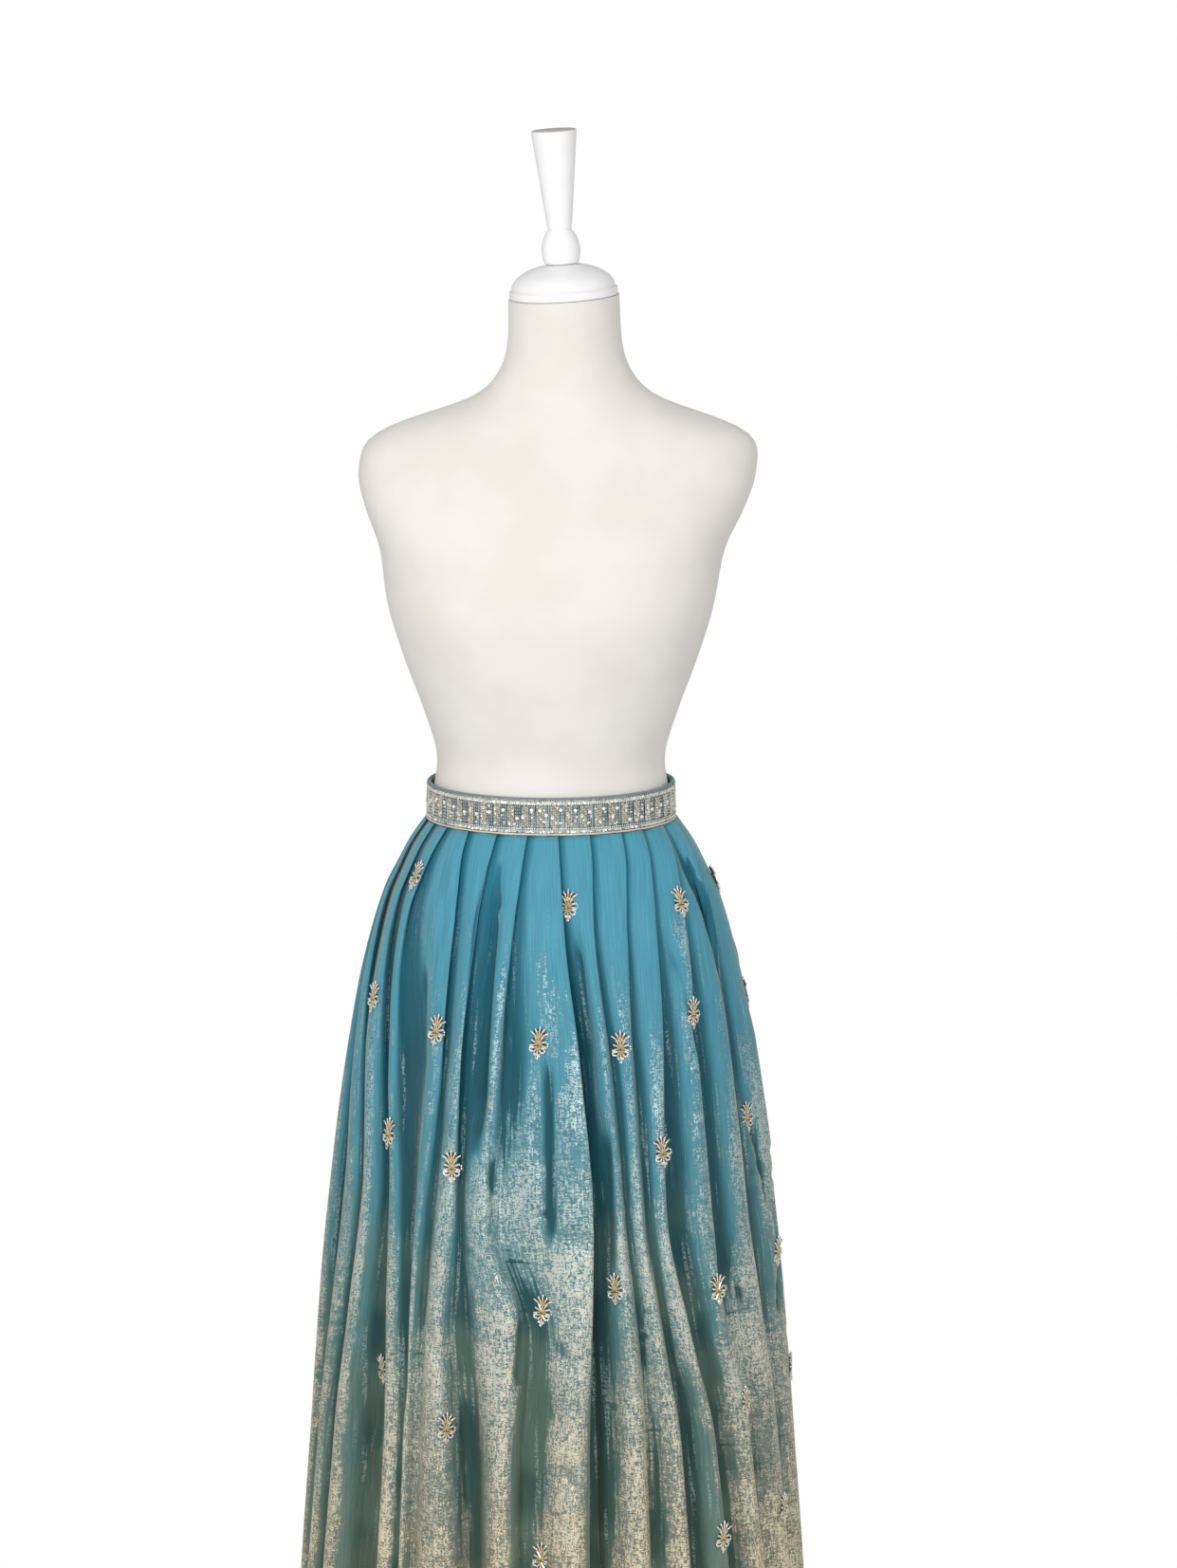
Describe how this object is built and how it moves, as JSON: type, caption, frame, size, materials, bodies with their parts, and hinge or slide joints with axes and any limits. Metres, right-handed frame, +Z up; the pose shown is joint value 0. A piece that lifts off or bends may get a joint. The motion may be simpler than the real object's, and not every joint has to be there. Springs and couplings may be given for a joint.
{
  "type": "lehenga skirt on a dress form",
  "caption": "Floor-length knife-pleated lehenga skirt with a beaded waistband, worn by a limbless dress form on a pole and round base.",
  "frame": {"origin": "centre of the round base's flat underside, on the floor", "axes": "+Z up the form to the finial, -Y to the front of the skirt, +X to the viewer's right when facing the front"},
  "size_m": [0.5366, 0.5183, 1.6921],
  "materials": {
    "skirt_cloth": "two-tone teal tissue cloth with gold metallic weft",
    "waistband_cloth": "cloth covered with silver and gold beadwork",
    "form_cover": "smooth off-white jersey over foam",
    "turned_wood": "gloss white enamel",
    "stand_metal": "white powder coat"
  },
  "bodies": {
    "root": {"skirt_front_left": "skirt_cloth", "skirt_front_right": "skirt_cloth", "skirt_back_left": "skirt_cloth", "skirt_back_right": "skirt_cloth", "waistband": "waistband_cloth", "waistband_tab": "waistband_cloth", "form_torso": "form_cover", "neck_cap": "turned_wood", "finial": "turned_wood", "pole": "stand_metal", "base": "stand_metal"}
  },
  "joints": []
}
